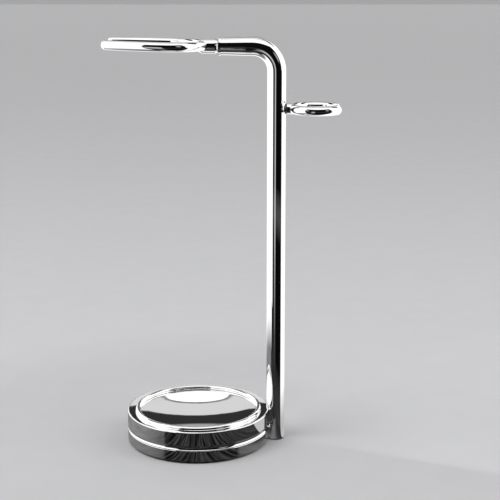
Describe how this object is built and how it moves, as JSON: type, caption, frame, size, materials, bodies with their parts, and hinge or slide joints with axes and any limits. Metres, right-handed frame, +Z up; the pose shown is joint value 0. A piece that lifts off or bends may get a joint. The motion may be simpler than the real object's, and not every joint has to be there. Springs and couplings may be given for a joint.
{
  "type": "shaving brush and razor stand",
  "caption": "Chrome shaving stand: weighted round base with drip dish, bent tube post, open fork that hangs a shaving brush and a small open ring that holds a razor.",
  "frame": {"origin": "centre of the round base on the surface it stands on", "axes": "+Z up; +X from the base's centre towards the post, so the brush fork points along -X and the razor ring along +X; +Y to the far side"},
  "size_m": [0.0947, 0.06, 0.1696],
  "materials": {
    "chrome_base": "mirror-polished chrome plate on zinc",
    "chrome_trim": "bright polished chrome",
    "chrome_base_lower": "mirror-polished chrome plate on zinc",
    "chrome_tube": "mirror-polished chrome plate on steel tube",
    "chrome_bush": "polished chrome",
    "chrome_fork": "mirror-polished chrome plate",
    "chrome_razor_ring": "mirror-polished chrome plate",
    "zinc_steel": "bright zinc-plated steel",
    "insert_brass": "turned brass",
    "ballast_iron": "raw casting",
    "pad_rubber": "matt black foam rubber",
    "plug_plastic": "black moulded plastic",
    "washer_nylon": "natural nylon"
  },
  "bodies": {
    "stand": {"base_cover": "chrome_base", "trim_ring": "chrome_trim", "base_body": "chrome_base_lower", "ballast_weight": "ballast_iron", "base_screws": "zinc_steel", "anti_slip_pad": "pad_rubber", "post_tube": "chrome_tube", "post_foot_plug": "plug_plastic", "post_anchor": "insert_brass", "clamp_screw": "zinc_steel", "clamp_washer": "zinc_steel", "arm_end_bush": "chrome_bush", "fork_washer": "washer_nylon", "razor_barrel_nut": "insert_brass", "razor_washer": "washer_nylon"},
    "fork": {"brush_fork": "chrome_fork", "fork_stud": "zinc_steel"},
    "razor_holder": {"razor_ring": "chrome_razor_ring", "razor_stud": "zinc_steel"}
  },
  "joints": [
    {"name": "brush_fork_turn", "type": "hinge", "parent": "stand", "child": "fork", "pos_m": [0.0104, 0, 0.1658], "axis": [1, 0, 0], "range_deg": [-90, 90]},
    {"name": "razor_ring_turn", "type": "hinge", "parent": "stand", "child": "razor_holder", "pos_m": [0.0368, 0, 0.1408], "axis": [1, 0, 0], "range_deg": [-90, 90]}
  ]
}
